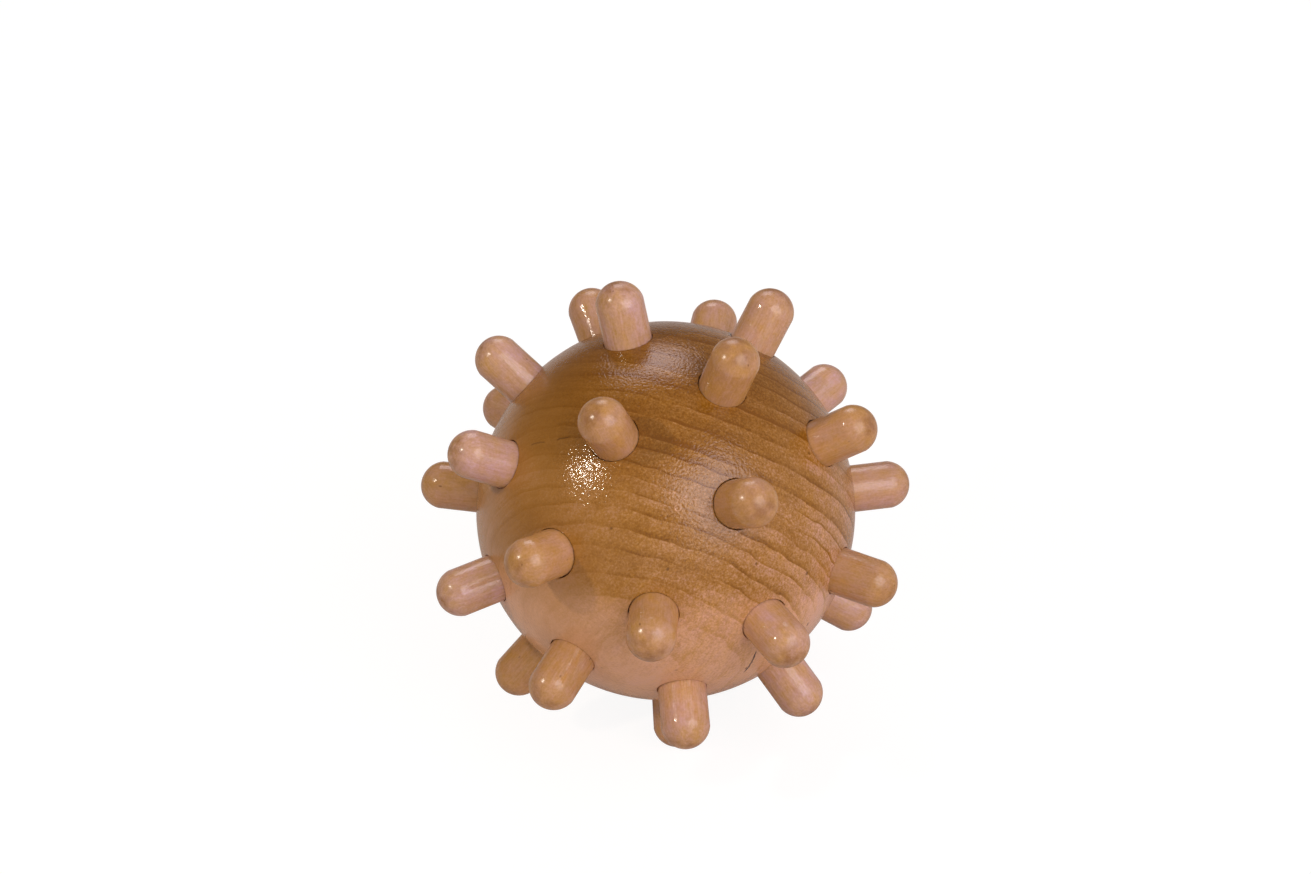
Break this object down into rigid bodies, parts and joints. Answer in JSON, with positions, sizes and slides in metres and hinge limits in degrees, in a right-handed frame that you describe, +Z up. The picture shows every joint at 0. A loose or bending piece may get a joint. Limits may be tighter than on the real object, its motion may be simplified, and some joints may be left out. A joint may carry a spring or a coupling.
{
  "type": "wooden massage ball",
  "caption": "Turned wooden ball set all round with round-nosed wooden pegs, rolled over the body or under a foot for massage.",
  "frame": {"origin": "on the table, straight below the centre of the ball", "axes": "+Z up from the table; -Y towards the side that is seen first"},
  "size_m": [0.0828, 0.0829, 0.0795],
  "materials": {
    "ball_wood": "lacquered, semi-gloss",
    "peg_wood": "lacquered, semi-gloss"
  },
  "bodies": {
    "root": {"ball": "ball_wood", "top_peg": "peg_wood", "upper_peg_1": "peg_wood", "upper_peg_2": "peg_wood", "upper_peg_3": "peg_wood", "upper_peg_4": "peg_wood", "upper_peg_5": "peg_wood", "upper_middle_peg_1": "peg_wood", "upper_middle_peg_2": "peg_wood", "upper_middle_peg_3": "peg_wood", "upper_middle_peg_4": "peg_wood", "upper_middle_peg_5": "peg_wood", "upper_middle_peg_6": "peg_wood", "upper_middle_peg_7": "peg_wood", "upper_middle_peg_8": "peg_wood", "upper_middle_peg_9": "peg_wood", "upper_middle_peg_10": "peg_wood", "lower_middle_peg_1": "peg_wood", "lower_middle_peg_2": "peg_wood", "lower_middle_peg_3": "peg_wood", "lower_middle_peg_4": "peg_wood", "lower_middle_peg_5": "peg_wood", "lower_middle_peg_6": "peg_wood", "lower_middle_peg_7": "peg_wood", "lower_middle_peg_8": "peg_wood", "lower_middle_peg_9": "peg_wood", "lower_middle_peg_10": "peg_wood", "lower_peg_1": "peg_wood", "lower_peg_2": "peg_wood", "lower_peg_3": "peg_wood", "lower_peg_4": "peg_wood", "lower_peg_5": "peg_wood", "bottom_peg": "peg_wood"}
  },
  "joints": []
}
